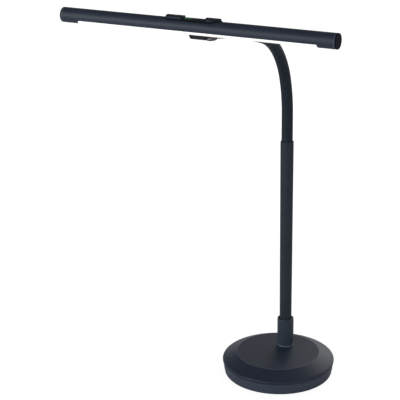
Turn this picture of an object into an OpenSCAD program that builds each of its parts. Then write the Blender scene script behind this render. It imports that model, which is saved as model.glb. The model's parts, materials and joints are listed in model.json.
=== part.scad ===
// Piano lamp: a round weighted base, a pole that turns in a collar, a flexible
// gooseneck and a long LED bar on a swivel and a tilt joint.
// Millimetres. The origin is the centre of the underside, +Z is up, and the
// lamp reaches towards -Y, over the music.

/* [Base] */
// Widest radius of the base, at the rim of the cover
base_r = 100; // [90:1:115]
// Height of the ring round the foot of the base
band_h = 20; // [19:0.1:22]
// Height of the faint edge in the ring
band_edge_z = 9; // [6:0.1:14]
// Height of the flat top of the cover
facet_z = 37.6; // [35:0.1:42]
// How much smaller the flat top's radius is than the base's
facet_in = 26.3; // [22:0.1:30]
// Radius of the round rim of the cover
rim_round = 3.5; // [3.3:0.1:4]
// Wall of the base cover
cover_wall = 2.5; // [1.5:0.1:3]
// Thickness of the rubber pad
pad_t = 1.5; // [1:0.1:2.5]
// Thickness of the steel bottom plate
plate_t = 1.5; // [1:0.1:2.5]
// Height of the cast ballast
ballast_h = 12; // [9:0.5:14]
// How much smaller the ballast's radius is than the base's
ballast_in = 14; // [13:0.5:20]
// How much smaller the ring of base screws is than the base's radius
screw_ring_in = 38; // [36:0.5:42]
// Height of the power socket's axis
socket_z = 10.2; // [9.6:0.1:10.6]

/* [Collar and pole] */
// Distance of the pole behind the middle of the base
pole_y = 31.4; // [25:0.1:40]
// Height of the seat ring under the collar
seat_h = 2.2; // [1.5:0.1:5]
// Outer radius of the collar
collar_r = 14.7; // [14:0.1:18]
// Height of the collar
collar_h = 51; // [35:1:70]
// Radius of the pole in the collar
pole_r = 10.7; // [10.6:0.1:11]
// Radius of the pole at its top
pole_top_r = 11.6; // [11:0.1:12]
// Radius of the bore of the pole
pole_bore_r = 9.95; // [9.85:0.05:10]
// Height of the pole's top over the table
pole_top_z = 424; // [300:1:520]
// Radius of the stem that holds the pole in the base
stem_r = 5; // [4:0.1:6]

/* [Gooseneck] */
// Outer radius of the sleeve
neck_r = 9.8; // [9.2:0.1:9.8]
// Wall of the sleeve
sleeve_wall = 1.4; // [1:0.1:1.5]
// Wall of the wound steel core
core_wall = 2; // [1.2:0.1:2.2]
// Straight stub between the pole and the first hinge
root_len = 47.5; // [24:0.5:54]
// Length of each of the five links
link_len = 66; // [50:1:80]
// Length from the last hinge to the swivel axis
tip_len = 74; // [64:0.5:90]
// Bend that link 1 holds
bend_1 = 18; // [5:1:25]
// Bend that link 2 holds
bend_2 = 27; // [5:1:32]
// Bend that link 3 holds
bend_3 = 27; // [5:1:30]
// Bend that link 4 holds
bend_4 = 2; // [2:1:12]
// Bend that link 5 holds
bend_5 = 5; // [1:1:6]
// Distance of each sleeve end from its hinge
hinge_gap = 1.6; // [1.5:0.1:2]

/* [Swivel and tilt] */
// Radius of the ferrule at the neck's end
ferrule_r = 13; // [11:0.1:13.2]
// Distance from the swivel axis to the tilt axis
yoke_len = 20.5; // [20:0.5:26]
// Radius of the swivel and tilt pins
pin_r = 2.5; // [2:0.1:2.8]
// Radius of the tilt hinge barrel
barrel_r = 6.5; // [6:0.1:6.6]
// Height of the domed heads of the tilt pin
dome_h = 3.4; // [1.5:0.1:4]
// Distance of the bar's axis in front of the tilt axis
lug_y = 14; // [14:0.1:17]
// Height of the bar's axis over the tilt axis
lug_z = 14.7; // [14:0.1:18]
// Length of the saddle plate under the bar
saddle_len = 64; // [56:1:110]

/* [Bar] */
// Length of the bar over its end caps
bar_len = 446; // [340:1:480]
// Outer radius of the bar
bar_r = 11.4; // [10.8:0.05:11.6]
// Wall of the bar's tube
tube_wall = 1.5; // [1.2:0.1:1.6]
// Full round tube left at each end
round_end = 29; // [20:1:50]
// Radius of the corners of the light window
window_round = 6; // [1:0.5:6]
// Front edge of the light window, from straight down
window_front = 61; // [50:1:63]
// Back edge of the light window, from straight down
window_back = 25; // [15:1:28]
// Thickness of each end cap
cap_t = 2.5; // [1.5:0.1:5]
// Distance between the LED chips
led_pitch = 10; // [7:0.5:20]

/* [Controls] */
// Length of the control panel
panel_len = 89; // [84:1:120]
// Centre of the control panel along the bar
panel_x = -1; // [-20:0.5:20]
// Thickness of the panel's shell
panel_t = 1.6; // [1.5:0.1:2.4]
// Edge of the panel, from straight up
panel_edge = 44; // [43:1:52]
// Radius of the wide arc at the panel's front right corner
panel_sweep = 16; // [11:0.5:16]
// Length of the left key
key_left_len = 27; // [16:0.5:28]
// Length of the right key
key_right_len = 21; // [15:0.5:24]
// Width of both keys
key_w = 14; // [10:0.5:14]
// Depth of the dip across the middle of the left key
key_dip = 1.2; // [0.4:0.1:1.6]
// Height of the keys over the bar's tube
key_h = 4.2; // [3.6:0.1:6]
// Travel of the keys
key_travel = 1; // [0.5:0.1:1]

/* [Hidden] */
$fn = 96;

fit = 0.05;        // radial clearance of a pin, a stem or the pole in its bore
seat = 0.1;        // clearance of a piece that is slid or pressed into another
play = 0.3;        // clearance round a piece that moves
eps = 0.01;

// Base
base_in_r = base_r - 8;
band_foot_z = 0.6;
plate_z = pad_t;
plate_top = plate_z + plate_t;
plate_r = base_in_r - 0.5;
ballast_z = plate_top;
ballast_r = base_r - ballast_in;
ballast_top = ballast_z + ballast_h;
screw_ring_r = base_r - screw_ring_in;
ring_lip_r = ballast_r + 1.5;
cover_z = band_h + 0.2;
skirt_z = cover_z - 3.5;
skirt_r = base_in_r - play;
skirt_t = 2;
inner_top = facet_z - cover_wall / 2;
over_top = facet_z + 10;
facet_r = base_r - facet_in;
// Centre of the rim's round in the section, over the cover's edge, and the direction the slope faces
rim_rise = 3;
rim_at = [base_r - rim_round, cover_z + rim_rise];
rim_to_facet = [facet_r, facet_z] - rim_at;
slope_dir = atan2(rim_to_facet[1], rim_to_facet[0]) - acos(rim_round / norm(rim_to_facet));
cover_r = rim_at[0] + sqrt(rim_round * rim_round - rim_rise * rim_rise);
screw_r = 2;
screw_head_r = 3.6;
boss_r = 5;
stem_boss_r = 9;
nut_r = 8;
nut_h = 4;
nut_pocket_r = 12;
nut_pocket_top = ballast_z + 7.5;
stem_washer_t = 1;
stem_washer_z = nut_pocket_top - seat - stem_washer_t;
nut_z = stem_washer_z - seat - nut_h;
socket_r = 5;
socket_flange_r = 6.5;
socket_face_y = base_r - 2.4;
socket_back_y = ballast_r + 1;
plug_r = 2.75;
plug_pin_r = 1.05;
lead_r = 1.6;
lead_way_r = lead_r + play;

// Collar and pole
seat_top = facet_z + seat_h;
seat_r = collar_r + 0.5;
seat_round = 1;
collar_top = seat_top + collar_h;
collar_lip_h = 3;
collar_lip_gap = 1.3;
collar_round = 2;
stem_flange_t = 2;
pole_foot_z = seat_top + fit + stem_flange_t;
stem_plug_h = 24;
pole_round = 1;
sleeve_in = 12;    // length of the root sleeve inside the pole
bush_h = 16;

// Gooseneck
sleeve_in_r = neck_r - sleeve_wall;
core_r = sleeve_in_r - seat;
core_in_r = core_r - core_wall;
ball_r = 5.2;
ball_gap = 0.3;
ball_stub_r = 3.2;
socket_cup_r = core_r - 0.6;
cup_reach = 2.5;   // how far a cup reaches back past its hinge
cup_h = 7;
core_start = 4;
core_end = 5;
bends = [bend_1, bend_2, bend_3, bend_4, bend_5];
function turn(i) = i == 0 ? 0 : turn(i - 1) + bends[i - 1];
function bend_radius(i) = link_len * 180 / (PI * bends[i]);
function chord(i) = bend_radius(i) * [0, cos(turn(i) + bends[i]) - cos(turn(i)),
                                      sin(turn(i) + bends[i]) - sin(turn(i))];
// Hinge i of the neck, from 0 at the root to 5 at the tip
function hinge(i) = i == 0 ? [0, pole_y, pole_top_z + root_len] : hinge(i - 1) + chord(i - 1);
tip_turn = turn(5);
swivel_at = hinge(5) + tip_len * [0, -sin(tip_turn), cos(tip_turn)];

// Ferrule, swivel and tilt
ferrule_end = tip_len - 11.5;
ferrule_start = ferrule_end - 14.5;
ferrule_mid = (ferrule_start + ferrule_end) / 2;
ferrule_round = 3;
ferrule_cup = 6;
ferrule_core = ferrule_end - 3.5;
lug_r = 7.5;
lug_half = 3;
washer_t = 0.7;
fork_half = lug_half + washer_t + 2 * seat;
fork_t = 3.5;
fork_r = 8;
fork_web = 2.6;
pin_head_r = pin_r + 1.7;
pin_head_t = 1.2;
dome_r = barrel_r - 0.7;
eye_half = 4.5;
side_in = eye_half + washer_t + 2 * seat;
side_t = 6.6;
side_out = side_in + side_t;
tilt_at = swivel_at - [0, yoke_len, 0];
bar_at = tilt_at + [0, -lug_y, lug_z];
tilt_in_bar = [lug_y, -lug_z];
tilt_angle = atan2(-lug_z, lug_y);

// Bar. Angles in its section are measured from +Y, through +Z.
tube_len = bar_len - 2 * cap_t;
bore_r = bar_r - tube_wall;
window_len = bar_len - 2 * round_end;
window_a = -90 - window_front;
window_b = -90 + window_back;
window_mid = (window_a + window_b) / 2;
window_half_w = bar_r * sin((window_front + window_back) / 2);
diffuser_lip = 10;
carrier_y = -2.7;
carrier_t = 1.5;
carrier_half = sqrt(bore_r * bore_r - (carrier_t - carrier_y) * (carrier_t - carrier_y)) - 0.25;
board_half = 5;
board_t = 1.2;
led_size = [3, 3.4, 0.8];
led_count = floor((window_len - 12) / led_pitch) + 1;
cap_plug_h = 8;
cap_round = 0.7;
saddle_t = 2;
saddle_r = bar_r + saddle_t;
saddle_a = tilt_angle - 15;
saddle_b = tilt_angle + 43;
saddle_screw_x = saddle_len / 2 - 8;
saddle_screw_a = tilt_angle + 30;
saddle_screw_r = 1.5;
saddle_screw_head_r = 2.8;
saddle_screw_head_t = 1.4;
web_half = 5;

// Controls
panel_r = bar_r + panel_t;
panel_seat_r = bar_r + seat;
panel_half_w = panel_r * sin(panel_edge);
panel_round = 7;
panel_over = 0.6;  // by this much its outline is wider than the shell, so that only the corners are cut
panel_end = panel_half_w - key_w / 2;
key_gap = 1.5;
key_left_x = panel_x - panel_len / 2 + panel_end + key_left_len / 2;
key_right_x = panel_x + panel_len / 2 - panel_end - key_right_len / 2;
key_top_r = bar_r + key_h;
key_foot_z = bar_r - 1.2;
key_round = 2.5;
key_sweep = panel_sweep - panel_end;
key_dip_half = 3.2;
key_stem_r = 2;
window_x0 = key_left_x + key_left_len / 2 + key_gap;
window_x1 = key_right_x - key_right_len / 2 - key_gap;
glass_edge = 38;
glass_t = 0.9;
glass_proud = 0.25;
light_x = window_x0 + 7.5;
light_half = 5.5;
light_edge = 20;
pcb_z = 3;
pcb_t = 1.2;
pcb_half_w = 7;
rail_in = pcb_half_w - 0.8;
pcb_half_len = (panel_len - 11) / 2;
switch_w = 6;
switch_h = 1;
switch_top = pcb_z + pcb_t + switch_h;
key_stem_z = switch_top + key_travel + play;

// A flat ring between two radii and two angles of a section
module ring_sector(ro, ri, a, b) {
    m = (a + b) / 2;
    far = 3 * ro;
    intersection() {
        difference() {
            circle(ro);
            circle(ri);
        }
        polygon([[0, 0], far * [cos(a), sin(a)], far * [cos((a + m) / 2), sin((a + m) / 2)],
                 far * [cos(m), sin(m)], far * [cos((m + b) / 2), sin((m + b) / 2)],
                 far * [cos(b), sin(b)]]);
    }
}

// A pipe along Z
module pipe(ro, ri, z0, z1) {
    translate([0, 0, z0])
    difference() {
        cylinder(r = ro, h = z1 - z0);
        translate([0, 0, -1]) cylinder(r = ri, h = z1 - z0 + 2);
    }
}

// Half section of a round bar that stands on z0, with its upper edge rounded
module round_top(r, z0, h, round) {
    translate([0, z0]) square([r, h - round]);
    translate([0, z0]) square([r - round, h]);
    translate([r - round, z0 + h - round]) circle(round, $fn = 48);
}

// A section in Y and Z, run along X between two ends
module along_x(x0, x1) {
    translate([x0, 0, 0]) rotate([90, 0, 90]) linear_extrude(x1 - x0) children();
}

// A rectangle with round corners, centred
module round_rect(len, width, r) {
    square([len - 2 * r, width], center = true);
    square([len, width - 2 * r], center = true);
    for (sx = [-1, 1], sy = [-1, 1]) {
        translate([sx * (len / 2 - r), sy * (width / 2 - r)]) circle(r);
    }
}

// A rectangle with round corners, centred, whose front right corner is one wide arc
module swept_rect(len, width, r, wide) {
    intersection() {
        round_rect(len, width, r);
        union() {
            translate([len / 2 - wide, wide - width / 2]) circle(wide);
            translate([-len / 2, -width / 2]) square([len - wide, width]);
            translate([-len / 2, wide - width / 2]) square([len, width]);
        }
    }
}

// Half section of the cover's outside: its round rim, its slope and its flat top, drawn in by an inset
module cover_section(inset) {
    r = rim_round - inset;
    top = facet_z - inset;
    slope_end = rim_at[0] + (r - (top - rim_at[1]) * sin(slope_dir)) / cos(slope_dir);
    translate(rim_at) circle(r, $fn = 48);
    polygon([[0, cover_z - 1], [rim_at[0], cover_z - 1], rim_at,
             rim_at + r * [cos(slope_dir), sin(slope_dir)], [slope_end, top], [0, top]]);
}

// Puts its children on each base screw
module at_base_screws() {
    for (a = [45 : 90 : 315]) {
        rotate([0, 0, a]) translate([screw_ring_r, 0, 0]) children();
    }
}

module at_pole() {
    translate([0, pole_y, 0]) children();
}

module foot_pad() {
    color("#1b1c1e") cylinder(r = plate_r - 2, h = pad_t);
}

module base_plate() {
    color("#8a8d90")
    difference() {
        translate([0, 0, plate_z]) cylinder(r = plate_r, h = plate_t);
        at_base_screws() translate([0, 0, plate_z - 1]) cylinder(r = screw_head_r + seat, h = plate_t + 2);
    }
}

module base_screws() {
    color("#a5a7a9")
    at_base_screws() {
        translate([0, 0, plate_z]) cylinder(r = screw_head_r, h = plate_t);
        translate([0, 0, plate_z]) cylinder(r = screw_r, h = cover_z - plate_z);
    }
}

module ballast() {
    color("#4a4b4d")
    difference() {
        translate([0, 0, ballast_z]) cylinder(r = ballast_r, h = ballast_h);
        at_base_screws() cylinder(r = screw_r + seat, h = ballast_top + 1);
        at_pole() cylinder(r = stem_r + fit, h = ballast_top + 1);
        at_pole() cylinder(r = nut_pocket_r, h = nut_pocket_top);
        translate([-lead_way_r, pole_y, 0])
        cube([2 * lead_way_r, ballast_r, ballast_z + 2 * lead_way_r]);
    }
}

module base_ring() {
    color("#2a2f37")
    difference() {
        rotate_extrude() polygon([
            [plate_r + 0.2, band_foot_z], [base_r - 4.6, band_foot_z], [base_r - 4, band_foot_z + 0.6],
            [base_r - 2.4, band_edge_z], [base_r - 1.2, band_h - 0.4], [base_r - 1.6, band_h],
            [base_in_r, band_h], [base_in_r, plate_top + 2.2], [ring_lip_r, plate_top + 2.2],
            [ring_lip_r, plate_top + seat], [plate_r + 0.2, plate_top + seat]]);
        translate([0, 0, socket_z]) rotate([-90, 0, 0]) cylinder(r = socket_r + seat, h = base_r + 1);
        translate([0, socket_face_y - 1.2, socket_z]) rotate([-90, 0, 0])
        cylinder(r = socket_flange_r + seat, h = 10);
    }
}

module base_cover() {
    color("#262b33")
    difference() {
        union() {
            rotate_extrude() difference() {
                intersection() {
                    cover_section(0);
                    translate([0, cover_z]) square([base_r, facet_z]);
                }
                cover_section(cover_wall);
            }
            pipe(skirt_r, skirt_r - skirt_t, skirt_z, cover_z + 1);
            pipe(cover_r - 0.5, skirt_r - skirt_t, cover_z, cover_z + 0.8);
            at_base_screws() translate([0, 0, ballast_top]) cylinder(r = boss_r, h = inner_top - ballast_top);
            at_pole() translate([0, 0, ballast_top]) cylinder(r = stem_boss_r, h = inner_top - ballast_top);
        }
        at_base_screws() cylinder(r = screw_r + seat, h = cover_z + 1);
        at_pole() cylinder(r = stem_r + play, h = over_top);
    }
}

module power_socket() {
    color("#17181a")
    difference() {
        union() {
            translate([0, socket_back_y, socket_z]) rotate([-90, 0, 0])
            cylinder(r = socket_r, h = socket_face_y - socket_back_y);
            translate([0, socket_face_y - 1.1, socket_z]) rotate([-90, 0, 0])
            cylinder(r = socket_flange_r, h = 1.1);
            translate([-4, socket_back_y, plate_top + 2.4]) cube([8, 3, socket_z - plate_top - 2.4]);
        }
        difference() {
            translate([0, socket_face_y - 9, socket_z]) rotate([-90, 0, 0]) cylinder(r = plug_r, h = 10);
            translate([0, socket_face_y - 10, socket_z]) rotate([-90, 0, 0]) cylinder(r = plug_pin_r, h = 9);
        }
    }
}

module base_lead() {
    color("#1f1f1f")
    translate([0, pole_y + nut_r, plate_top + lead_r + seat]) rotate([-90, 0, 0])
    cylinder(r = lead_r, h = socket_back_y - play - pole_y - nut_r);
}

module collar_seat() {
    color("#3a414b")
    at_pole()
    rotate_extrude() difference() {
        round_top(seat_r, facet_z, seat_h, seat_round);
        translate([-1, facet_z - 1]) square([stem_r + play + 1, seat_h + 2]);
    }
}

module collar() {
    color("#343b46")
    at_pole()
    rotate_extrude() difference() {
        round_top(collar_r, seat_top, collar_h, collar_round);
        translate([-1, seat_top - 1]) square([pole_r + fit + 1, collar_h + 2]);
        translate([-1, collar_top - collar_lip_h]) square([pole_r + collar_lip_gap + 1, collar_lip_h + 1]);
    }
}

module stem_washer() {
    color("#9a9c9e")
    at_pole() pipe(nut_r + 1, stem_r + seat, stem_washer_z, stem_washer_z + stem_washer_t);
}

module pole_tube() {
    color("#2b323b")
    at_pole()
    difference() {
        union() {
            translate([0, 0, pole_foot_z]) cylinder(r = pole_r, h = collar_top - pole_foot_z + eps);
            translate([0, 0, collar_top])
            cylinder(r1 = pole_r, r2 = pole_top_r, h = pole_top_z - pole_round - collar_top);
            translate([0, 0, pole_top_z - pole_round])
            cylinder(r1 = pole_top_r, r2 = pole_top_r - pole_round / 2, h = pole_round);
        }
        translate([0, 0, pole_foot_z - 1]) cylinder(r = pole_bore_r, h = pole_top_z);
    }
}

module pole_stem() {
    color("#8d9093")
    at_pole()
    difference() {
        union() {
            translate([0, 0, nut_z - 1.5]) cylinder(r = stem_r, h = seat_top + 1 - nut_z + 1.5);
            translate([0, 0, seat_top + fit]) cylinder(r = pole_r - fit, h = stem_flange_t - fit);
            translate([0, 0, seat_top + 1]) cylinder(r = pole_bore_r - seat, h = stem_plug_h);
        }
        cylinder(r = lead_way_r, h = seat_top + stem_plug_h + 2);
    }
}

module stem_nut() {
    color("#9a9c9e")
    at_pole()
    difference() {
        translate([0, 0, nut_z]) cylinder(r = nut_r, h = nut_h, $fn = 6);
        cylinder(r = stem_r + fit, h = nut_z + nut_h + 1);
    }
}

module pole_lead() {
    color("#1f1f1f")
    at_pole() translate([0, 0, nut_z]) cylinder(r = lead_r, h = pole_top_z - sleeve_in - nut_z);
}

module pole_bush() {
    color("#5c6066")
    at_pole()
    pipe(pole_bore_r - fit, lead_way_r, pole_top_z - sleeve_in - bush_h, pole_top_z - sleeve_in);
}

// Puts its children at hinge i of the neck, with +Z along the neck
module at_hinge(i) {
    translate(hinge(i)) rotate([turn(i), 0, 0]) children();
}

// The bent pipe of link i between two distances from its hinge
module bent_pipe(i, ro, ri, s0, s1) {
    radius = bend_radius(i);
    per_mm = bends[i] / link_len;
    at_hinge(i) translate([0, -radius, 0]) rotate([90, 0, 90]) rotate([0, 0, s0 * per_mm])
    rotate_extrude(angle = (s1 - s0) * per_mm, $fn = 360)
    translate([radius, 0]) difference() {
        circle(ro, $fn = 96);
        circle(ri, $fn = 96);
    }
}

// The cup that the ball of the piece before sits in, at the start of a core
module core_cup() {
    difference() {
        translate([0, 0, -cup_reach]) cylinder(r = socket_cup_r, h = cup_reach + cup_h);
        sphere(ball_r + ball_gap);
        cylinder(r = ball_stub_r, h = cup_h + 1);
        translate([0, 0, -cup_reach - 1]) cylinder(r = ball_r - 0.5, h = cup_reach + 1);
    }
}

// The ball and its stub at the end of a core
module core_ball() {
    difference() {
        union() {
            sphere(ball_r);
            translate([0, 0, -core_end - 2]) cylinder(r = ball_stub_r, h = core_end + 2);
            translate([0, 0, -core_end - 2]) cylinder(r = core_r - core_wall / 2, h = 2);
        }
        translate([0, 0, -core_end - 3]) cylinder(r = lead_way_r, h = core_end + ball_r + 4);
    }
}

module neck_core(i) {
    color("#9a9da1") {
        bent_pipe(i, core_r, core_in_r, core_start, link_len - core_end);
        at_hinge(i) core_cup();
        at_hinge(i + 1) core_ball();
    }
}

module neck_sleeve(i) {
    color("#232932") bent_pipe(i, neck_r, sleeve_in_r, hinge_gap, link_len - hinge_gap);
}

module neck_root_core() {
    color("#9a9da1") {
        at_pole() pipe(core_r, core_in_r, pole_top_z - sleeve_in, pole_top_z + root_len - core_end);
        at_hinge(0) core_ball();
    }
}

module neck_root_sleeve() {
    color("#232932")
    at_pole() pipe(neck_r, sleeve_in_r, pole_top_z - sleeve_in, pole_top_z + root_len - hinge_gap);
}

module neck_tip_core() {
    color("#9a9da1")
    at_hinge(5) {
        pipe(core_r, core_in_r, core_start, ferrule_core);
        core_cup();
    }
}

module neck_tip_sleeve() {
    color("#232932")
    at_hinge(5) pipe(neck_r, sleeve_in_r, hinge_gap, ferrule_start + ferrule_cup - seat);
}

module neck_ferrule() {
    color("#3a414a")
    difference() {
        union() {
            at_hinge(5) translate([0, 0, ferrule_mid]) rotate_extrude() {
                round_top(ferrule_r, 0, ferrule_end - ferrule_mid, ferrule_round);
                mirror([0, 1]) round_top(ferrule_r, 0, ferrule_mid - ferrule_start, ferrule_round);
            }
            translate(swivel_at - [0, 0, lug_half]) cylinder(r = lug_r, h = 2 * lug_half);
            translate(swivel_at - [lug_r - 1, 0, lug_half]) cube([2 * lug_r - 2, 13.8, 2 * lug_half]);
        }
        at_hinge(5) translate([0, 0, ferrule_start - 1]) cylinder(r = neck_r + fit, h = ferrule_cup + 1);
        at_hinge(5) translate([0, 0, ferrule_start])
        cylinder(r = core_r + fit, h = ferrule_core - ferrule_start + seat);
        translate(swivel_at - [0, 0, lug_half + 1]) cylinder(r = pin_r + fit, h = 2 * lug_half + 2);
    }
}

module swivel_washers() {
    color("#c9ccd0")
    for (side = [-1, 1]) {
        translate(swivel_at + [0, 0, side * (lug_half + seat + washer_t / 2)])
        pipe(lug_r - 0.5, pin_r + seat, -washer_t / 2, washer_t / 2);
    }
}

module swivel_yoke() {
    fork_out = fork_half + fork_t;
    web_y = lug_r + 0.6;
    color("#30363f")
    difference() {
        union() {
            translate(tilt_at - [eye_half, 0, 0]) rotate([0, 90, 0]) cylinder(r = barrel_r, h = 2 * eye_half);
            translate(tilt_at - [eye_half, 0, barrel_r - 0.1])
            cube([2 * eye_half, yoke_len - web_y, 2 * barrel_r - 0.2]);
            for (side = [-1, 1]) {
                translate(swivel_at + [0, 0, side * (fork_half + fork_t / 2)]) {
                    cylinder(r = fork_r, h = fork_t, center = true);
                    translate([0, -web_y / 2 - fork_web / 2, 0])
                    cube([2 * fork_r - 3, web_y + fork_web, fork_t], center = true);
                }
            }
            translate(swivel_at + [-fork_r + 1.5, -web_y - fork_web, -fork_out])
            cube([2 * fork_r - 3, fork_web, 2 * fork_out]);
        }
        translate(tilt_at - [eye_half + 1, 0, 0]) rotate([0, 90, 0])
        cylinder(r = pin_r + fit, h = 2 * eye_half + 2);
        translate(swivel_at - [0, 0, fork_out + 1]) cylinder(r = pin_r + fit, h = 2 * fork_out + 2);
    }
}

module swivel_pin() {
    half = fork_half + fork_t;
    color("#2a2e35")
    translate(swivel_at) {
        cylinder(r = pin_r, h = 2 * half, center = true);
        for (side = [-1, 1]) {
            translate([0, 0, side * (half + pin_head_t / 2)])
            cylinder(r = pin_head_r, h = pin_head_t, center = true);
        }
    }
}

// The pin of the tilt hinge, with a domed head at each end
module tilt_pin() {
    dome_round = (dome_r * dome_r + dome_h * dome_h) / (2 * dome_h);
    color("#2a2e35")
    translate(tilt_at) {
        rotate([0, 90, 0]) cylinder(r = pin_r, h = 2 * side_out, center = true);
        for (turned = [-90, 90]) {
            rotate([0, turned, 0]) translate([0, 0, side_out])
            rotate_extrude() intersection() {
                square([dome_r, dome_h]);
                translate([0, dome_h - dome_round]) circle(dome_round);
            }
        }
    }
}

module tilt_washers() {
    color("#c9ccd0")
    for (side = [-1, 1]) {
        translate(tilt_at + [side * (eye_half + seat + washer_t / 2), 0, 0]) rotate([0, 90, 0])
        pipe(barrel_r - 0.3, pin_r + seat, -washer_t / 2, washer_t / 2);
    }
}

module at_saddle_screws() {
    for (side = [-1, 1]) {
        translate([side * saddle_screw_x, 0, 0]) rotate([saddle_screw_a - 90, 0, 0]) children();
    }
}

module head_bracket() {
    color("#30363f")
    translate(bar_at)
    difference() {
        union() {
            along_x(-saddle_len / 2, saddle_len / 2) ring_sector(saddle_r, bar_r + seat, saddle_a, saddle_b);
            for (x0 = [-side_out, side_in]) {
                along_x(x0, x0 + side_t) difference() {
                    union() {
                        translate(tilt_in_bar) circle(barrel_r);
                        rotate(tilt_angle) translate([0, -web_half]) square([norm(tilt_in_bar), 2 * web_half]);
                    }
                    circle(bar_r + seat);
                }
            }
        }
        translate([-side_out - 1, tilt_in_bar[0], tilt_in_bar[1]]) rotate([0, 90, 0])
        cylinder(r = pin_r + fit, h = 2 * side_out + 2);
        at_saddle_screws() cylinder(r = saddle_screw_r + seat, h = saddle_r + 2);
    }
}

module bracket_screws() {
    color("#17191c")
    translate(bar_at) at_saddle_screws() {
        translate([0, 0, bore_r - 1.5]) cylinder(r = saddle_screw_r, h = saddle_r - bore_r + 1.5);
        translate([0, 0, saddle_r]) cylinder(r = saddle_screw_head_r, h = saddle_screw_head_t);
    }
}

// The outline of each key from above, with a clearance round it
module key_left_outline(gap) {
    translate([key_left_x, 0]) round_rect(key_left_len + 2 * gap, key_w + 2 * gap, key_round + gap);
}

module key_right_outline(gap) {
    translate([key_right_x, 0])
    swept_rect(key_right_len + 2 * gap, key_w + 2 * gap, key_round + gap, key_sweep + gap);
}

module head_tube() {
    color("#434a55")
    translate(bar_at)
    difference() {
        union() {
            along_x(-tube_len / 2, tube_len / 2) difference() {
                circle(bar_r);
                circle(bore_r);
            }
            along_x(-tube_len / 2 + cap_plug_h + 1, tube_len / 2 - cap_plug_h - 1) intersection() {
                circle(bar_r - tube_wall / 2);
                translate([-bar_r, pcb_z - 1.1]) difference() {
                    square([2 * bar_r, 1]);
                    translate([bar_r - rail_in, -1]) square([2 * rail_in, 3]);
                }
            }
        }
        intersection() {
            along_x(-window_len / 2, window_len / 2) ring_sector(bar_r + 1, bore_r - 0.4, window_a, window_b);
            window_outline(0);
        }
        linear_extrude(bar_r + 1) key_left_outline(play + 0.5);
        linear_extrude(bar_r + 1) key_right_outline(play + 0.5);
        translate([light_x - light_half, -3, 0]) cube([2 * light_half, 6, bar_r + 1]);
        at_saddle_screws() cylinder(r = saddle_screw_r + seat, h = bar_r + 2);
    }
}

// An end cap with its plug, its outer face towards -Z
module end_cap() {
    rotate_extrude() {
        translate([0, cap_round]) square([bar_r, cap_t - cap_round]);
        square([bar_r - cap_round, cap_t]);
        translate([bar_r - cap_round, cap_round]) circle(cap_round, $fn = 32);
        translate([0, cap_t - 1]) square([bore_r - seat, cap_plug_h + 1]);
    }
}

module end_cap_left() {
    color("#22262c") translate(bar_at - [bar_len / 2, 0, 0]) rotate([0, 90, 0]) end_cap();
}

module end_cap_right() {
    color("#22262c") translate(bar_at + [bar_len / 2, 0, 0]) rotate([0, -90, 0]) end_cap();
}

// Turns its children so that the light window lies straight below
module facing_window() {
    rotate([window_mid + 90, 0, 0]) children();
}

// The light window as seen from below, with its round corners, drawn in by an inset
module window_outline(inset) {
    facing_window() translate([0, 0, -2 * bar_r]) linear_extrude(2 * bar_r)
    round_rect(window_len - 2 * inset, 2 * window_half_w + 2 - 2 * inset, window_round + 1 - inset);
}

module led_carrier() {
    half = tube_len / 2 - cap_plug_h - 1;
    color("#b9bcc0")
    translate(bar_at) facing_window()
    translate([-half, -carrier_half, carrier_y - carrier_t]) cube([2 * half, 2 * carrier_half, carrier_t]);
}

module led_board() {
    color("#e8e8e2")
    translate(bar_at) facing_window()
    translate([-window_len / 2 + 3, -board_half, carrier_y - carrier_t - board_t])
    cube([window_len - 6, 2 * board_half, board_t]);
}

module leds() {
    color("#f6e7a0")
    translate(bar_at) facing_window()
    for (i = [0 : led_count - 1]) {
        translate([(i - (led_count - 1) / 2) * led_pitch, 0,
                   carrier_y - carrier_t - board_t - led_size[2] / 2])
        cube(led_size, center = true);
    }
}

module diffuser() {
    color("#f7f7f5")
    translate(bar_at) {
        intersection() {
            along_x(-window_len / 2 + seat, window_len / 2 - seat)
            ring_sector(bar_r, bore_r - 1, window_a + 0.5, window_b - 0.5);
            window_outline(seat);
        }
        along_x(-window_len / 2 + seat, window_len / 2 - seat)
        ring_sector(bore_r - seat, bore_r - 1, window_a - diffuser_lip, window_b + diffuser_lip);
    }
}

module control_housing() {
    color("#2d333c")
    translate(bar_at)
    difference() {
        intersection() {
            along_x(panel_x - panel_len / 2, panel_x + panel_len / 2)
            ring_sector(panel_r, panel_seat_r, 90 - panel_edge, 90 + panel_edge);
            translate([panel_x, 0, 0]) linear_extrude(2 * bar_r)
            swept_rect(panel_len, 2 * panel_half_w + panel_over, panel_round, panel_sweep);
        }
        linear_extrude(2 * bar_r) key_left_outline(play);
        linear_extrude(2 * bar_r) key_right_outline(play);
        along_x(window_x0 - seat, window_x1 + seat)
        ring_sector(panel_r + 1, panel_r + glass_proud - glass_t - seat,
                    90 - glass_edge - 1, 90 + glass_edge + 1);
        translate([light_x - light_half, -3, 0]) cube([2 * light_half, 6, 2 * bar_r]);
    }
}

module control_board() {
    color("#1e5a38")
    translate(bar_at + [panel_x - pcb_half_len, -pcb_half_w, pcb_z])
    cube([2 * pcb_half_len, 2 * pcb_half_w, pcb_t]);
}

module key_switches() {
    color("#c2c4c6")
    for (x = [key_left_x, key_right_x]) {
        translate(bar_at + [x - switch_w / 2, -switch_w / 2, pcb_z + pcb_t])
        cube([switch_w, switch_w, switch_h]);
    }
}

module panel_window() {
    color("#0f1114")
    translate(bar_at)
    difference() {
        along_x(window_x0, window_x1)
        ring_sector(panel_r + glass_proud, panel_r + glass_proud - glass_t, 90 - glass_edge, 90 + glass_edge);
        along_x(light_x - light_half, light_x + light_half)
        ring_sector(panel_r + 2, bar_r - 2, 90 - light_edge, 90 + light_edge);
    }
}

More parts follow.
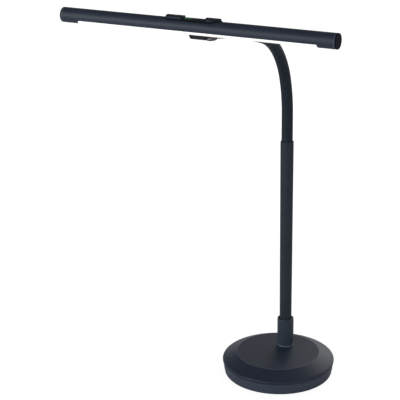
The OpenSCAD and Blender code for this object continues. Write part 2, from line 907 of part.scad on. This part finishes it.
module status_light() {
    color("#57d96a")
    translate(bar_at) {
        along_x(light_x - light_half + seat, light_x + light_half - seat)
        ring_sector(panel_r + glass_proud, panel_r + glass_proud - glass_t,
                    90 - light_edge + 0.5, 90 + light_edge - 0.5);
        translate([light_x - light_half + 1, -2, pcb_z + pcb_t + 0.5])
        cube([2 * light_half - 2, 4, panel_r - pcb_z - pcb_t - 1]);
    }
}

// A key of the panel from its outline: a crowned cap with a stem over its switch
module key_cap(x) {
    intersection() {
        translate([0, 0, key_foot_z]) linear_extrude(key_top_r - key_foot_z) children();
        along_x(x - panel_len / 2, x + panel_len / 2) circle(key_top_r);
    }
    translate([x, 0, key_stem_z]) cylinder(r = key_stem_r, h = key_foot_z + 1 - key_stem_z);
}

module key_left() {
    dip_r = (key_dip_half * key_dip_half + key_dip * key_dip) / (2 * key_dip);
    color("#2b3038")
    translate(bar_at)
    difference() {
        key_cap(key_left_x) key_left_outline(0);
        translate([key_left_x, 0, key_top_r - key_dip + dip_r]) rotate([90, 0, 0])
        cylinder(r = dip_r, h = 2 * key_w, center = true);
    }
}

module key_right() {
    color("#2b3038") translate(bar_at) key_cap(key_right_x) key_right_outline(0);
}

foot_pad();
base_plate();
base_screws();
ballast();
base_ring();
base_cover();
power_socket();
base_lead();
collar_seat();
collar();
stem_washer();
pole_tube();
pole_stem();
stem_nut();
pole_lead();
pole_bush();
neck_root_core();
neck_root_sleeve();
neck_core(0);  // neck_core_1
neck_sleeve(0);  // neck_sleeve_1
neck_core(1);  // neck_core_2
neck_sleeve(1);  // neck_sleeve_2
neck_core(2);  // neck_core_3
neck_sleeve(2);  // neck_sleeve_3
neck_core(3);  // neck_core_4
neck_sleeve(3);  // neck_sleeve_4
neck_core(4);  // neck_core_5
neck_sleeve(4);  // neck_sleeve_5
neck_tip_core();
neck_tip_sleeve();
neck_ferrule();
swivel_washers();
swivel_yoke();
swivel_pin();
tilt_pin();
tilt_washers();
head_bracket();
bracket_screws();
head_tube();
end_cap_left();
end_cap_right();
led_carrier();
led_board();
leds();
diffuser();
control_housing();
control_board();
key_switches();
panel_window();
status_light();
key_left();
key_right();
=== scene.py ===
import json
from math import atan2, pi, radians, sin

import bpy
from mathutils import Euler, Matrix, Vector


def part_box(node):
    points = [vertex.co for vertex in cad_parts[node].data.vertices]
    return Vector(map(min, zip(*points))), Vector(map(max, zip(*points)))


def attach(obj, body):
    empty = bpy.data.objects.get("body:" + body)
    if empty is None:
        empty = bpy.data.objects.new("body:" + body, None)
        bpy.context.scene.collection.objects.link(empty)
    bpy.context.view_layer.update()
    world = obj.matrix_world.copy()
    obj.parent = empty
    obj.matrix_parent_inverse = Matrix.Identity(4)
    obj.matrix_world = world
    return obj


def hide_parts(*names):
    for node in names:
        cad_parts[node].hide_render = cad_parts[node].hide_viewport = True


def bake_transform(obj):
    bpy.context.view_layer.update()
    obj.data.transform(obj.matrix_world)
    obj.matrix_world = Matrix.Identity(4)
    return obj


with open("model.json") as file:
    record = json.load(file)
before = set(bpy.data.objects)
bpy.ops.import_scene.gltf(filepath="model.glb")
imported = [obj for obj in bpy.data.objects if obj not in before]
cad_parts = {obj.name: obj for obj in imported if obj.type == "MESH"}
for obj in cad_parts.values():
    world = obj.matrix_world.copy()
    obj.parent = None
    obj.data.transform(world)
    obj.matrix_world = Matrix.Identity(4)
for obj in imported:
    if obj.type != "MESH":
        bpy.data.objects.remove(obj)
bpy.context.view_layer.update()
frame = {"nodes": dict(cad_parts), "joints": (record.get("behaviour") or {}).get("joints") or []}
nodes = frame["nodes"]
scene = bpy.context.scene
scene.view_settings.view_transform = "Standard"


# ---------------------------------------------------------------- Camera
# The photograph's view: from the lamp's right and a little above, with a long
# lens, and with the horizon turned by a little under one degree.
camera_at = (0.8642, -1.9301, 1.0916)
camera_azimuth = 27.83
camera_down = 19.88
camera_roll = -0.86
lens_mm = 117

camera_data = bpy.data.cameras.new("camera")
camera_data.lens = lens_mm
camera_data.sensor_width = 36
camera_data.clip_end = 30
camera = bpy.data.objects.new("camera", camera_data)
scene.collection.objects.link(camera)
aim = Euler((radians(90 - camera_down), 0, radians(camera_azimuth))).to_matrix()
aim = aim @ Matrix.Rotation(radians(camera_roll), 3, "Z")
camera.matrix_world = Matrix.Translation(camera_at) @ aim.to_4x4()
scene.camera = camera


# ---------------------------------------------------------------- Studio
# A pale table in a white room with a dim ceiling, lit by one large soft lamp
# from the front left, a weaker one from the right and a low one from behind.
def add(material, kind, values=None, links=None, **settings):
    """Adds a node with its settings, its input values and its links."""
    node = material.node_tree.nodes.new(kind)
    for name, value in settings.items():
        setattr(node, name, value)
    for socket, value in (values or {}).items():
        node.inputs[socket].default_value = value
    for socket, source in (links or {}).items():
        material.node_tree.links.new(source, node.inputs[socket])
    return node


def linear(hex_colour):
    """The linear colour of an sRGB hex value."""
    parts = [int(hex_colour[i : i + 2], 16) / 255 for i in (1, 3, 5)]
    return [p / 12.92 if p < 0.04045 else ((p + 0.055) / 1.055) ** 2.4 for p in parts] + [1]


world = bpy.data.worlds.new("white_room")
scene.world = world
world.use_nodes = True
world.node_tree.nodes.clear()
direction = add(world, "ShaderNodeTexCoord")
height = add(world, "ShaderNodeSeparateXYZ", links={0: direction.outputs["Generated"]})
walls = add(world, "ShaderNodeValToRGB", links={0: height.outputs["Z"]})
walls.color_ramp.elements[0].position = 0.0
walls.color_ramp.elements[0].color = (0.95, 0.95, 0.95, 1)
walls.color_ramp.elements[1].position = 0.6
walls.color_ramp.elements[1].color = (0.14, 0.14, 0.15, 1)
soft_light = add(world, "ShaderNodeBackground", {"Strength": 0.8}, {"Color": walls.outputs[0]})
mirrored = add(world, "ShaderNodeValToRGB", links={0: height.outputs["Z"]})
mirrored.color_ramp.elements[0].position = 0.03
mirrored.color_ramp.elements[0].color = (1, 1, 1, 1)
mirrored.color_ramp.elements[1].position = 0.4
mirrored.color_ramp.elements[1].color = (0.14, 0.14, 0.15, 1)
backdrop = add(world, "ShaderNodeBackground", {"Strength": 1.0}, {"Color": mirrored.outputs[0]})
ray = add(world, "ShaderNodeLightPath")
direct = add(world, "ShaderNodeMath", operation="MAXIMUM", links={
    0: ray.outputs["Is Camera Ray"], 1: ray.outputs["Is Glossy Ray"]})
direct = add(world, "ShaderNodeMath", operation="MAXIMUM", links={
    0: direct.outputs[0], 1: ray.outputs["Is Transmission Ray"]})
seen = add(world, "ShaderNodeMixShader", links={
    0: direct.outputs[0], 1: soft_light.outputs[0], 2: backdrop.outputs[0]})
add(world, "ShaderNodeOutputWorld", links={"Surface": seen.outputs[0]})

table = bpy.data.materials.new("pale_table")
table.use_nodes = True
table.node_tree.nodes.clear()
pale = add(table, "ShaderNodeBsdfDiffuse", {"Color": linear("#f2f2f2")})
shaded = add(table, "ShaderNodeBsdfDiffuse", {"Color": (0.34, 0.34, 0.34, 1)})
# The camera sees the table as white, with only the object's shadow on it; the light that
# bounces off it is that of a pale surface. Its own glow grows to full white away from the lamp.
middle = add(table, "ShaderNodeTexCoord")
far = add(table, "ShaderNodeVectorMath", links={0: middle.outputs["Object"]}, operation="LENGTH")
glow = add(table, "ShaderNodeMapRange", {1: 0.25, 2: 0.9, 3: 0.89, 4: 1.0}, {0: far.outputs["Value"]})
lift = add(table, "ShaderNodeEmission", {"Color": (1, 1, 1, 1)}, {"Strength": glow.outputs[0]})
ray = add(table, "ShaderNodeLightPath")
lifted = add(table, "ShaderNodeAddShader", links={0: shaded.outputs[0], 1: lift.outputs[0]})
shown = add(table, "ShaderNodeMixShader", links={
    0: ray.outputs["Is Camera Ray"], 1: pale.outputs[0], 2: lifted.outputs[0]})
add(table, "ShaderNodeOutputMaterial", links={"Surface": shown.outputs[0]})
bpy.ops.object.select_all(action="DESELECT")
bpy.ops.mesh.primitive_plane_add(size=16, location=(0, 0, 0))
table_top = bpy.context.object
table_top.name = "table_top"
table_top.data.materials.append(table)

for name, place, aim_at, size, watts in (
        ("soft_box_left", (-1.2, -2.2, 1.0), (0, 0, 0.3), 1.6, 24),
        ("soft_box_right", (2.2, -1.0, 0.9), (0, 0, 0.3), 1.2, 6),
        ("soft_box_back", (0.2, 1.9, 1.2), (0, 0, 0.2), 1.6, 14)):
    lamp = bpy.data.lights.new(name, "AREA")
    lamp.shape = "SQUARE"
    lamp.size = size
    lamp.energy = watts
    lamp_object = bpy.data.objects.new(name, lamp)
    scene.collection.objects.link(lamp_object)
    lamp_object.location = place
    lamp_object.rotation_euler = (Vector(aim_at) - Vector(place)).to_track_quat("-Z", "Y").to_euler()


# ---------------------------------------------------------------- Foot pad
# A disc of rubber glued under the steel plate. It is cut from sheet, so it is
# matt, with a faint grain from the calender.
def grained(name, dark, light, roughness, grain_mm, relief, metallic=0.0, shine=0.5):
    """A material with a slow change of colour, and a fine grain in its surface."""
    material = bpy.data.materials.new(name)
    material.use_nodes = True
    shader = material.node_tree.nodes["Principled BSDF"]
    shader.inputs["Metallic"].default_value = metallic
    shader.inputs["Specular IOR Level"].default_value = shine
    place = add(material, "ShaderNodeTexCoord")
    cloud = add(material, "ShaderNodeTexNoise", {"Scale": 22.0, "Detail": 3.0},
                {"Vector": place.outputs["Object"]})
    tint = add(material, "ShaderNodeMix", {6: linear(dark), 7: linear(light)}, {0: cloud.outputs[0]},
               data_type="RGBA", label="tint")
    material.node_tree.links.new(tint.outputs[2], shader.inputs["Base Color"])
    grain = add(material, "ShaderNodeTexNoise", {"Scale": 1000 / grain_mm, "Detail": 2.0},
                {"Vector": place.outputs["Object"]})
    gloss = add(material, "ShaderNodeMapRange", {3: roughness - 0.04, 4: roughness + 0.04},
                {0: cloud.outputs[0]})
    material.node_tree.links.new(gloss.outputs[0], shader.inputs["Roughness"])
    bump = add(material, "ShaderNodeBump", {"Strength": relief, "Distance": 0.0001},
               {"Height": grain.outputs[0]})
    material.node_tree.links.new(bump.outputs[0], shader.inputs["Normal"])
    return material


def dress(material, *names):
    """Gives CAD nodes their material."""
    for name in names:
        nodes[name].data.materials.clear()
        nodes[name].data.materials.append(material)


# Calendered rubber: matt, with a grain of about half a millimetre.
calendered_rubber = grained("calendered_rubber", "#1c1d1f", "#2a2b2d", 0.8, 0.6, 0.4)
calendered_rubber.node_tree.nodes["Principled BSDF"].inputs["IOR"].default_value = 1.52
dress(calendered_rubber, "foot_pad")


# ---------------------------------------------------------------- Bottom plate, screws and ballast
# A pressed steel plate closes the base, and four screws hold it, the ballast
# and the cover together. The ballast is one disc of cast iron.
# Zinc-plated steel: bright and a little cloudy, with the crystals of the plating.
zinc_plated_steel = grained("zinc_plated_steel", "#9fa3a8", "#c3c6c9", 0.34, 1.2, 0.2,
                            metallic=1.0)
dress(zinc_plated_steel, "base_plate", "base_screws", "stem_washer", "stem_nut", "key_switches")

# Sand-cast iron: dark and rough, with the grain of the moulding sand.
sand_cast_iron = grained("sand_cast_iron", "#3c3d40", "#5a5b5e", 0.62, 0.9, 0.9, metallic=1.0)
dress(sand_cast_iron, "ballast")


# ---------------------------------------------------------------- Ring and cover of the base
# Two mouldings of ABS with a soft satin paint: the ring makes the band round
# the foot, and the cover snaps into it and is held by the four screws.
flat_top_radius = 0.0737
pale_edge_full = 0.0002
pale_edge_gone = 0.0008

# Satin-painted ABS: even and dark blue-grey, with the faint orange peel of
# sprayed paint, whose dimples lie about a millimetre apart.
# On the ring this paint is coloured lighter than on the cover: a painted highlight for the light that
# the band catches from the pale table.
satin_painted_abs = grained("satin_painted_abs", "#3d4453", "#454e5e", 0.42, 1.1, 0.12, shine=0.3)
satin_painted_abs.node_tree.nodes["Principled BSDF"].inputs["IOR"].default_value = 1.5
dress(satin_painted_abs, "base_ring")

# The same paint on the cover. A pale line along the edge of the flat top is a painted highlight, for the
# light that the small bevel there catches.
edged_painted_abs = grained("satin_painted_abs_with_pale_edge", "#262e3e", "#2c3547", 0.42, 1.1, 0.12,
                            shine=0.3)
edged_painted_abs.node_tree.nodes["Principled BSDF"].inputs["IOR"].default_value = 1.5
place = edged_painted_abs.node_tree.nodes["Texture Coordinate"]
tint = next(n for n in edged_painted_abs.node_tree.nodes if n.label == "tint")
apart = add(edged_painted_abs, "ShaderNodeSeparateXYZ", links={0: place.outputs["Object"]})
flat = add(edged_painted_abs, "ShaderNodeCombineXYZ",
           links={0: apart.outputs[0], 1: apart.outputs[1]})
out_from_middle = add(edged_painted_abs, "ShaderNodeVectorMath", links={0: flat.outputs[0]},
                      operation="LENGTH")
edge_gap = add(edged_painted_abs, "ShaderNodeMath", {1: flat_top_radius},
               {0: out_from_middle.outputs["Value"]}, operation="SUBTRACT")
edge_gap = add(edged_painted_abs, "ShaderNodeMath", links={0: edge_gap.outputs[0]}, operation="ABSOLUTE")
near_edge = add(edged_painted_abs, "ShaderNodeMapRange",
                {1: pale_edge_full, 2: pale_edge_gone, 3: 1.0, 4: 0.0}, {0: edge_gap.outputs[0]})
# Painted highlight: the paint is mixed paler along the edge of the flat top.
painted_edge_highlight = add(edged_painted_abs, "ShaderNodeMix", {7: linear("#565c68")},
           {0: near_edge.outputs[0], 6: tint.outputs[2]}, data_type="RGBA")
shader = edged_painted_abs.node_tree.nodes["Principled BSDF"]
edged_painted_abs.node_tree.links.new(painted_edge_highlight.outputs[2], shader.inputs["Base Color"])
dress(edged_painted_abs, "base_cover")


# ---------------------------------------------------------------- Power socket and lead
# A round low-voltage socket of black polycarbonate in the back of the ring,
# and the two-core lead from it to the pole.
# Moulded polycarbonate: black and fairly glossy, with a fine mould texture.
moulded_polycarbonate = grained("moulded_polycarbonate", "#0e0f11", "#17181b", 0.3, 0.5, 0.1)
moulded_polycarbonate.node_tree.nodes["Principled BSDF"].inputs["IOR"].default_value = 1.58
dress(moulded_polycarbonate, "power_socket")

# Extruded PVC: black and slightly waxy.
extruded_pvc = grained("extruded_pvc", "#131315", "#1d1d1f", 0.5, 0.8, 0.15)
dress(extruded_pvc, "base_lead", "pole_lead")


# ---------------------------------------------------------------- Collar and its seat
# A turned steel sleeve with a rounded lip stands on a thin ring on the cover.
# The pole turns in it, and the dark gap round the pole shows at the lip.
# Powder-coated steel: satin, with the fine pebble of the powder, about 0.6 mm across.
powder_coated_steel = grained("powder_coated_steel", "#343d4a", "#3c4654", 0.44, 0.6, 0.22, shine=0.3)
powder_coated_steel.node_tree.nodes["Principled BSDF"].inputs["IOR"].default_value = 1.5
dress(powder_coated_steel, "collar")

# The seat ring has the same coat on a turned edge. Its colour is painted lighter than the collar's: a
# painted highlight for the light that edge catches.
coated_ring = grained("powder_coat_with_painted_highlight", "#56606f", "#626d7c", 0.3, 0.6, 0.15)
dress(coated_ring, "collar_seat")


# ---------------------------------------------------------------- Pole, stem and bush
# A steel tube that widens a little towards its top, on a turned stem that goes
# through the cover and the ballast to its nut. A bush in its top holds the gooseneck.
coated_tube = grained("powder_coated_tube", "#272f3a", "#2e3743", 0.44, 0.6, 0.2, shine=0.25)
coated_tube.node_tree.nodes["Principled BSDF"].inputs["IOR"].default_value = 1.5
dress(coated_tube, "pole_tube")

# Turned steel: bright, with the rings that the tool leaves, drawn about 1 mm apart so that they show.
ring_pitch = 0.000987
turned_steel = grained("turned_steel", "#8f9296", "#a9acb0", 0.3, 1.5, 0.1, metallic=1.0)
place = turned_steel.node_tree.nodes["Texture Coordinate"]
rings = add(turned_steel, "ShaderNodeTexWave", {"Scale": pi / 10 / ring_pitch},
            {"Vector": place.outputs["Object"]}, wave_type="BANDS", bands_direction="Z")
bump = add(turned_steel, "ShaderNodeBump", {"Strength": 0.3, "Distance": 0.0001},
           {"Height": rings.outputs[1]})
shader = turned_steel.node_tree.nodes["Principled BSDF"]
turned_steel.node_tree.links.new(bump.outputs[0], shader.inputs["Normal"])
dress(turned_steel, "pole_stem")

# Moulded nylon: grey and satin, with a soft sheen.
moulded_nylon_grey = grained("moulded_nylon_grey", "#56595e", "#63666b", 0.5, 0.7, 0.1)
dress(moulded_nylon_grey, "pole_bush")


# ---------------------------------------------------------------- Core of the gooseneck
# Steel wire wound into a flexible tube. It is posed here as a root, five links
# and a tip, and stays out of sight in the sleeve.
# Wound steel wire: bright turns about 4 mm apart. They run level on every link, as none of them shows.
turn_pitch = 0.003948
wound_steel_wire = grained("wound_steel_wire", "#85898e", "#a2a5aa", 0.36, 1.0, 0.1, metallic=1.0)
place = wound_steel_wire.node_tree.nodes["Texture Coordinate"]
turns = add(wound_steel_wire, "ShaderNodeTexWave", {"Scale": pi / 10 / turn_pitch},
            {"Vector": place.outputs["Object"]}, wave_type="BANDS", bands_direction="Z")
bump = add(wound_steel_wire, "ShaderNodeBump", {"Strength": 0.6, "Distance": 0.0004},
           {"Height": turns.outputs[1]})
shader = wound_steel_wire.node_tree.nodes["Principled BSDF"]
wound_steel_wire.node_tree.links.new(bump.outputs[0], shader.inputs["Normal"])
dress(wound_steel_wire, "neck_root_core", "neck_tip_core", *["neck_core_%d" % i for i in range(1, 6)])


# ---------------------------------------------------------------- Sleeve of the gooseneck
# One smooth sleeve of silicone rubber, pushed over the core from the pole to the
# ferrule. Six pieces, each over one hinge, meet halfway along the links, where
# nothing bends.
sleeve_low, sleeve_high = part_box("neck_root_sleeve")
sleeve_radius = (sleeve_high[0] - sleeve_low[0]) / 2
sleeve_wall = 0.0014
# It starts a little below the pole's top, inside the pole.
start_lift = 0.008
sleeve_start = Vector((0, (sleeve_low[1] + sleeve_high[1]) / 2, sleeve_low[2] + start_lift))
tip_sleeve_len = 0.0535
ring_gap = 0.0035
# Each sleeve piece turns smoothly over half a link on each side of its hinge.
neck_joints = ["neck_bend", "neck_sway", "neck_bend_middle", "neck_sway_middle", "neck_bend_tip",
               "neck_sway_tip"]

# Moulded silicone rubber: dark and smooth, with a soft, wide gleam and a powdery grain.
moulded_silicone = grained("moulded_silicone", "#1c242f", "#222b37", 0.5, 0.8, 0.15, shine=0.25)
moulded_silicone.node_tree.nodes["Principled BSDF"].inputs["IOR"].default_value = 1.43

joint_at = {joint["name"]: Vector(joint["pos_m"]) for joint in frame["joints"] if "pos_m" in joint}
hinge_at = [joint_at[name] for name in neck_joints]


def along(angle):
    """The direction of the neck where it has turned by an angle from upright."""
    return Vector((0, -sin(angle), sin(angle + pi / 2)))


# The turn at each hinge and the centre of each link's bend follow from the hinges' places.
hinge_turn = [0.0]
bend_of = []
centre_of = []
for low_end, high_end in zip(hinge_at, hinge_at[1:]):
    chord = high_end - low_end
    bend = 2 * (atan2(-chord.y, chord.z) - hinge_turn[-1])
    radius = chord.length / (2 * sin(bend / 2))
    toward_centre = Vector((0, -sin(hinge_turn[-1] + pi / 2), -sin(hinge_turn[-1])))
    centre_of.append(low_end + radius * toward_centre)
    bend_of.append(bend)
    hinge_turn.append(hinge_turn[-1] + bend)


def pull_straight(length, turn):
    """Pulls the selected ring on along a straight stretch of the neck."""
    steps = max(1, round(length / ring_gap))
    for step in range(steps):
        bpy.ops.mesh.extrude_region_move(
            TRANSFORM_OT_translate={"value": along(turn) * (length / steps)})


def pull_round(link, share):
    """Pulls the selected ring on round a share of a link's bend."""
    length = share * (hinge_at[link + 1] - hinge_at[link]).length
    bpy.ops.mesh.spin(steps=round(length / ring_gap), angle=-share * bend_of[link],
                      center=centre_of[link], axis=(1, 0, 0))


for i in range(6):
    if i == 0:
        start, turn = sleeve_start, 0.0
    else:
        turn = hinge_turn[i - 1] + bend_of[i - 1] / 2
        spoke = hinge_at[i - 1] - centre_of[i - 1]
        start = centre_of[i - 1] + Matrix.Rotation(bend_of[i - 1] / 2, 3, "X") @ spoke
    bpy.ops.object.select_all(action="DESELECT")
    bpy.ops.mesh.primitive_circle_add(vertices=64, radius=sleeve_radius, location=start,
                                      rotation=(turn, 0, 0))
    sleeve = bpy.context.object
    sleeve.name = "neck_sleeve_over_hinge_%d" % (i + 1)
    bpy.ops.object.transform_apply(location=True, rotation=True, scale=True)
    bpy.ops.object.mode_set(mode="EDIT")
    bpy.ops.mesh.select_all(action="SELECT")
    if i == 0:
        pull_straight((hinge_at[0] - start).length, 0.0)
    else:
        pull_round(i - 1, 0.5)
    if i < 5:
        pull_round(i, 0.5)
    else:
        pull_straight(tip_sleeve_len, hinge_turn[5])
    bpy.ops.mesh.select_all(action="SELECT")
    bpy.ops.mesh.remove_doubles(threshold=0.00001)
    bpy.ops.mesh.normals_make_consistent(inside=False)
    bpy.ops.object.mode_set(mode="OBJECT")
    wall = sleeve.modifiers.new("wall", "SOLIDIFY")
    wall.thickness = sleeve_wall
    wall.offset = -1
    bpy.ops.object.modifier_apply(modifier="wall")
    bpy.ops.object.shade_smooth_by_angle(angle=radians(40))
    sleeve.data.materials.append(moulded_silicone)
    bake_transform(sleeve)
    if i == 0:
        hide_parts("neck_root_sleeve", "neck_sleeve_1")
    elif i < 5:
        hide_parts("neck_sleeve_%d" % (i + 1))
    else:
        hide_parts("neck_tip_sleeve")


# ---------------------------------------------------------------- Ferrule, washers and pins
# The ferrule is a zinc casting, pressed on the end of the gooseneck, with the lug
# of the swivel. Nylon washers and steel pins join it, the fork and the bracket.
# Satin nickel on a zinc casting: pale grey, with a soft and wide highlight.
satin_nickel = grained("satin_nickel", "#66666a", "#78777c", 0.5, 0.9, 0.12, metallic=1.0)
dress(satin_nickel, "neck_ferrule")

# Moulded nylon, black: dull, so that no pale line shows at the hinges.
moulded_nylon = grained("moulded_nylon_black", "#16181c", "#1e2126", 0.55, 0.7, 0.1)
dress(moulded_nylon, "swivel_washers", "tilt_washers")

# Blackened steel: near black, with a low shine.
blackened_steel = grained("blackened_steel", "#14171c", "#1c2026", 0.5, 0.8, 0.2, shine=0.2)
dress(blackened_steel, "swivel_pin", "tilt_pin", "bracket_screws")


# ---------------------------------------------------------------- Fork and bracket
# Two small castings with a powder coat: the fork turns on the swivel pin, and the
# bracket, which is screwed to the bar, tilts on the fork's eye.
# Powder-coated casting: near black and satin, with the pebble of the powder.
coated_casting = grained("powder_coated_casting", "#1a1f28", "#212732", 0.46, 0.6, 0.22, shine=0.25)


def ease_edges(name, body, width, material):
    """Stands a copy of a CAD node in for it, with its edges eased by up to a width.

    Short edges beside a corner hold the easing back, on a rounded outline to a small part of the width.
    """
    bpy.ops.object.select_all(action="DESELECT")
    piece = nodes[name].copy()
    piece.data = nodes[name].data.copy()
    piece.name = name + "_eased"
    piece.parent = None
    piece.matrix_world = Matrix.Identity(4)
    scene.collection.objects.link(piece)
    piece.select_set(True)
    bpy.context.view_layer.objects.active = piece
    bpy.ops.object.mode_set(mode="EDIT")
    bpy.ops.mesh.select_all(action="SELECT")
    bpy.ops.mesh.remove_doubles(threshold=0.00001)
    bpy.ops.mesh.dissolve_limited(angle_limit=radians(0.5))
    bpy.ops.object.mode_set(mode="OBJECT")
    edge = piece.modifiers.new("edge", "BEVEL")
    edge.width = width
    edge.segments = 3
    edge.limit_method = "ANGLE"
    edge.angle_limit = radians(35)
    bpy.ops.object.modifier_apply(modifier="edge")
    bpy.ops.object.shade_smooth_by_angle(angle=radians(35))
    piece.data.materials.clear()
    piece.data.materials.append(material)
    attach(piece, body)
    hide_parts(name)


ease_edges("swivel_yoke", "yoke", 0.0006, coated_casting)
ease_edges("head_bracket", "head", 0.0006, coated_casting)


# ---------------------------------------------------------------- Bar and its caps
# A drawn aluminium tube with a long opening for the light, closed at each end by
# a cap of black ABS that is pushed in.
# Anodised aluminium: dark blue-grey and satin, with faint lines drawn along the
# bar, which are drawn 0.5 mm apart so that they show.
anodised_aluminium = grained("anodised_aluminium", "#2a3240", "#303949", 0.46, 0.5, 0.08, shine=0.3)
place = anodised_aluminium.node_tree.nodes["Texture Coordinate"]
stretched = add(anodised_aluminium, "ShaderNodeMapping", {"Scale": (0.02, 1, 1)},
                {"Vector": place.outputs["Object"]})
lines = add(anodised_aluminium, "ShaderNodeTexNoise", {"Scale": 1000 / 0.5, "Detail": 2.0},
            {"Vector": stretched.outputs[0]})
bump = add(anodised_aluminium, "ShaderNodeBump", {"Strength": 0.1, "Distance": 0.0001},
           {"Height": lines.outputs[0]})
shader = anodised_aluminium.node_tree.nodes["Principled BSDF"]
anodised_aluminium.node_tree.links.new(bump.outputs[0], shader.inputs["Normal"])
# A thin pale line is coloured into the tube at each end beside the cap: full over the last 0.6 mm, and
# gone 1.3 mm from the end.
tube_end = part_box("head_tube")[1][0]
cut_edge_from = tube_end - 0.0013
cut_edge_full = tube_end - 0.0006
tint = next(n for n in anodised_aluminium.node_tree.nodes if n.label == "tint")
apart = add(anodised_aluminium, "ShaderNodeSeparateXYZ", links={0: place.outputs["Object"]})
off_middle = add(anodised_aluminium, "ShaderNodeMath", links={0: apart.outputs[0]}, operation="ABSOLUTE")
near_end = add(anodised_aluminium, "ShaderNodeMapRange", {1: cut_edge_from, 2: cut_edge_full},
               {0: off_middle.outputs[0]})
bright = add(anodised_aluminium, "ShaderNodeMix", {7: linear("#5c6676")},
             {0: near_end.outputs[0], 6: tint.outputs[2]}, data_type="RGBA")
anodised_aluminium.node_tree.links.new(bright.outputs[2], shader.inputs["Base Color"])
dress(anodised_aluminium, "head_tube")

# Moulded ABS, matt: the caps are near black, with a coarse spark-eroded texture.
matt_abs = grained("moulded_abs_matt", "#0f1219", "#151922", 0.6, 0.8, 0.35, shine=0.05)
matt_abs.node_tree.nodes["Principled BSDF"].inputs["IOR"].default_value = 1.54
dress(matt_abs, "end_cap_left", "end_cap_right")


# ---------------------------------------------------------------- Light
# A strip of LED chips on a white board, on an extruded heat sink, behind a long
# opal diffuser that clips into the bar's opening.
# Extruded aluminium: bright and plain, with a slight cloudiness.
extruded_aluminium = grained("extruded_aluminium", "#a4a7ab", "#b6b9bd", 0.35, 1.0, 0.1, metallic=1.0)
dress(extruded_aluminium, "led_carrier")

# Glass-fibre board under white solder mask: chalky, with the weave faintly raised.
white_solder_mask = grained("white_solder_mask", "#dddddb", "#e8e8e5", 0.5, 1.2, 0.15)
dress(white_solder_mask, "led_board")

# The chips' phosphor in clear resin: yellow.
phosphor_resin = grained("phosphor_resin", "#e8c95e", "#f2dc86", 0.25, 0.5, 0.05)
dress(phosphor_resin, "leds")

# Opal acrylic: milky white, smooth, and lit from behind.
opal_acrylic = grained("opal_acrylic", "#f0f0ee", "#f6f6f4", 0.32, 1.0, 0.03)
shader = opal_acrylic.node_tree.nodes["Principled BSDF"]
shader.inputs["IOR"].default_value = 1.49
shader.inputs["Subsurface Weight"].default_value = 0.2
shader.inputs["Subsurface Scale"].default_value = 0.002
shader.inputs["Emission Color"].default_value = (1, 1, 1, 1)
shader.inputs["Emission Strength"].default_value = 0.55
dress(opal_acrylic, "diffuser")


# ---------------------------------------------------------------- Control panel
# A thin shell of ABS sits on top of the bar, with a key at each end and a low
# glossy window between them. The green light shows through the window.
# Moulded ABS: near black and satin, with a fine spark-eroded texture.
moulded_abs = grained("moulded_abs", "#141925", "#1a202d", 0.5, 0.5, 0.25, shine=0.15)
moulded_abs.node_tree.nodes["Principled BSDF"].inputs["IOR"].default_value = 1.54
ease_edges("control_housing", "head", 0.0004, moulded_abs)

# Polished polycarbonate: black and glossy, so that it mirrors the room softly.
polished_polycarbonate = grained("polished_polycarbonate", "#0b0d12", "#11141b", 0.14, 2.0, 0.02)
polished_polycarbonate.node_tree.nodes["Principled BSDF"].inputs["IOR"].default_value = 1.58
dress(polished_polycarbonate, "panel_window")

# Clear green polycarbonate over a small lamp: a dim green that glows a little.
lit_polycarbonate = grained("lit_green_polycarbonate", "#2f6e3a", "#3d8549", 0.25, 1.0, 0.03)
shader = lit_polycarbonate.node_tree.nodes["Principled BSDF"]
shader.inputs["Emission Color"].default_value = linear("#5fae6c")
shader.inputs["Emission Strength"].default_value = 0.12
dress(lit_polycarbonate, "status_light")

# Glass-fibre board under green solder mask: satin, with the weave faintly raised.
solder_mask = grained("solder_mask", "#1c4a30", "#245a3b", 0.4, 1.2, 0.2)
dress(solder_mask, "control_board")


# ---------------------------------------------------------------- Keys
# Two moulded caps of ABS. Each sits in its slot in the shell and presses a
# switch under it; the left one has a dip across its middle.
# Moulded ABS, more polished than the shell: it catches a little more light.
key_abs = grained("moulded_abs_key", "#191f2c", "#202736", 0.44, 0.5, 0.2, shine=0.2)
ease_edges("key_left", "left_key", 0.002, key_abs)
ease_edges("key_right", "right_key", 0.0017, key_abs)
